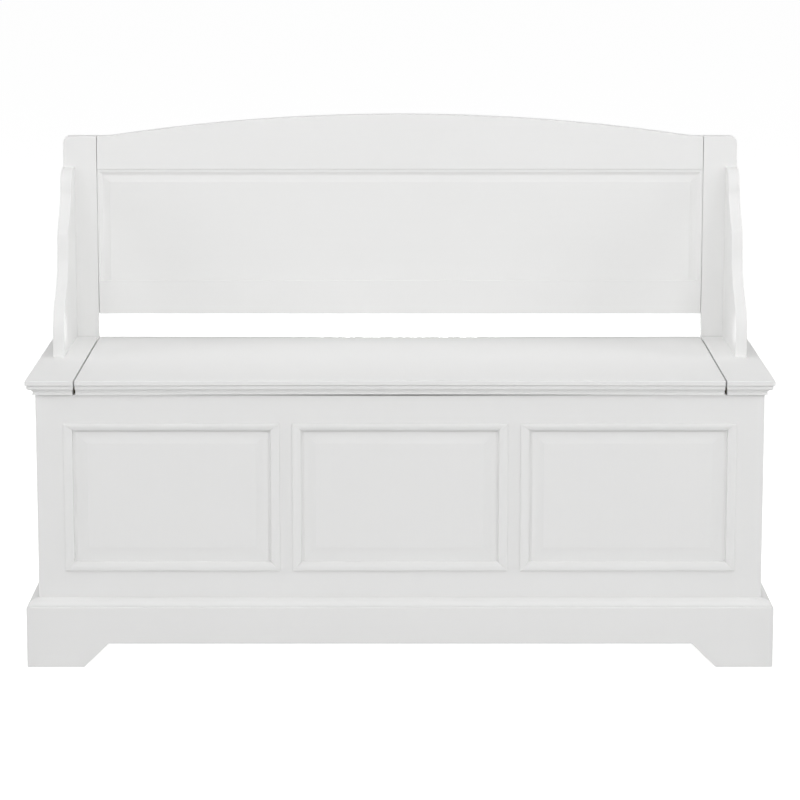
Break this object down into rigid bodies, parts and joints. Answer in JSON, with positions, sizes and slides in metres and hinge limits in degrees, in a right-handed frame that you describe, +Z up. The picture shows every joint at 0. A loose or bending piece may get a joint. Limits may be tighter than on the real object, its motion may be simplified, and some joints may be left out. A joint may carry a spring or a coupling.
{
  "type": "storage bench",
  "caption": "White painted hall bench: panelled storage box under a lift-up seat, with an arched panelled back, S-shaped end wings and a plinth with bracket feet.",
  "frame": {"origin": "on the floor, below the middle of the bench's outer box", "axes": "+X along the bench's width, to the right of someone facing its front; the front faces -Y; +Z up"},
  "size_m": [1.27, 0.504, 0.901],
  "materials": {
    "paint": "satin white paint on wood and board",
    "bare_wood": "sawn and planed pine, unpainted",
    "glide": "moulded nylon",
    "felt": "pressed felt",
    "hinge_steel": "satin nickel plate",
    "bolt_steel": "zinc plate"
  },
  "bodies": {
    "bench": {"plinth_front": "paint", "plinth_left": "paint", "plinth_right": "paint", "plinth_rear": "paint", "base_moulding_front": "paint", "base_moulding_left": "paint", "base_moulding_right": "paint", "corner_block_front_left": "bare_wood", "corner_block_front_right": "bare_wood", "corner_block_rear_left": "bare_wood", "corner_block_rear_right": "bare_wood", "foot_glide_front_left": "glide", "foot_glide_front_right": "glide", "foot_glide_rear_left": "glide", "foot_glide_rear_right": "glide", "front_top_rail": "paint", "front_bottom_rail": "paint", "front_stile_left": "paint", "front_stile_right": "paint", "front_muntin_left": "paint", "front_muntin_right": "paint", "front_panel_left": "paint", "front_panel_centre": "paint", "front_panel_right": "paint", "panel_moulding_left": "paint", "panel_moulding_centre": "paint", "panel_moulding_right": "paint", "side_panel_left": "paint", "side_panel_right": "paint", "box_back": "paint", "box_floor": "paint", "floor_cleat_front": "bare_wood", "floor_cleat_rear": "bare_wood", "end_cap_left": "paint", "end_cap_right": "paint", "cap_moulding_left": "paint", "cap_moulding_right": "paint", "cap_bearer_left": "bare_wood", "cap_bearer_right": "bare_wood", "lid_bumper_left": "felt", "lid_bumper_right": "felt", "hinge_left_box_leaf": "hinge_steel", "hinge_left_pin": "hinge_steel", "hinge_right_box_leaf": "hinge_steel", "hinge_right_pin": "hinge_steel", "back_stile_left": "paint", "back_stile_right": "paint", "back_top_rail": "paint", "back_bottom_rail": "paint", "back_panel": "paint", "wing_left": "paint", "wing_right": "paint", "back_bolt_upper_left": "bolt_steel", "back_bolt_lower_left": "bolt_steel", "back_bolt_upper_right": "bolt_steel", "back_bolt_lower_right": "bolt_steel"},
    "lid": {"lid_board": "paint", "lid_moulding": "paint", "hinge_left_lid_leaf": "hinge_steel", "hinge_right_lid_leaf": "hinge_steel"}
  },
  "joints": [
    {"name": "lid_hinge", "type": "hinge", "parent": "bench", "child": "lid", "pos_m": [0, 0.2312, 0.4784], "axis": [-1, 0, 0], "range_deg": [0, 66]}
  ]
}
